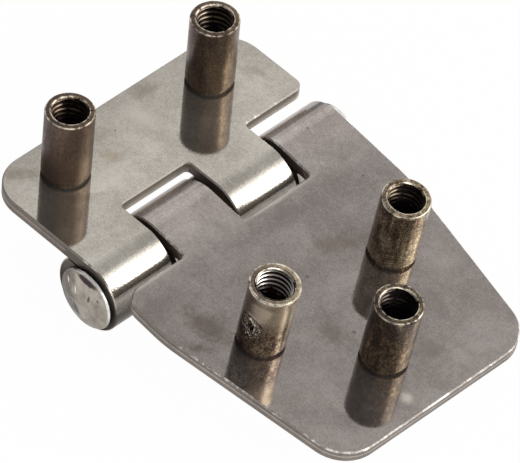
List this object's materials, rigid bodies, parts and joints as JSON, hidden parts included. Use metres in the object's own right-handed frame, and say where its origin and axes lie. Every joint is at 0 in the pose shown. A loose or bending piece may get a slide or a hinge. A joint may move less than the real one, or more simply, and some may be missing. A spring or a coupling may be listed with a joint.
{
  "type": "butt hinge",
  "caption": "Stainless butt hinge with unequal leaves, rolled knuckles on a headed pin and internally threaded mounting bosses on the back of both leaves.",
  "frame": {"origin": "middle of the short leaf's mounting face, 18 mm from the pin axis", "axes": "+Z out of the short leaf's mounting face along its bosses, +Y along the pin away from its domed head, +X from the short leaf towards the long leaf"},
  "size_m": [0.0893, 0.0669, 0.0316],
  "materials": {
    "short_leaf_steel": "rolled, satin, faint stains",
    "long_leaf_steel": "rolled, satin, slightly darker",
    "pin_steel": "turned and riveted, semi-gloss",
    "boss_steel": "turned, heat tinted brown and gold"
  },
  "bodies": {
    "short_side": {"short_leaf": "short_leaf_steel", "hinge_pin": "pin_steel", "short_leaf_boss_1": "boss_steel", "short_leaf_boss_2": "boss_steel"},
    "long_side": {"long_leaf": "long_leaf_steel", "long_leaf_boss_1": "boss_steel", "long_leaf_boss_2": "boss_steel", "long_leaf_boss_3": "boss_steel"}
  },
  "joints": [
    {"name": "leaf_fold", "type": "hinge", "parent": "short_side", "child": "long_side", "pos_m": [0.018, 0, -0.00775], "axis": [0, 1, 0], "range_deg": [-93.4, 190.6]}
  ]
}
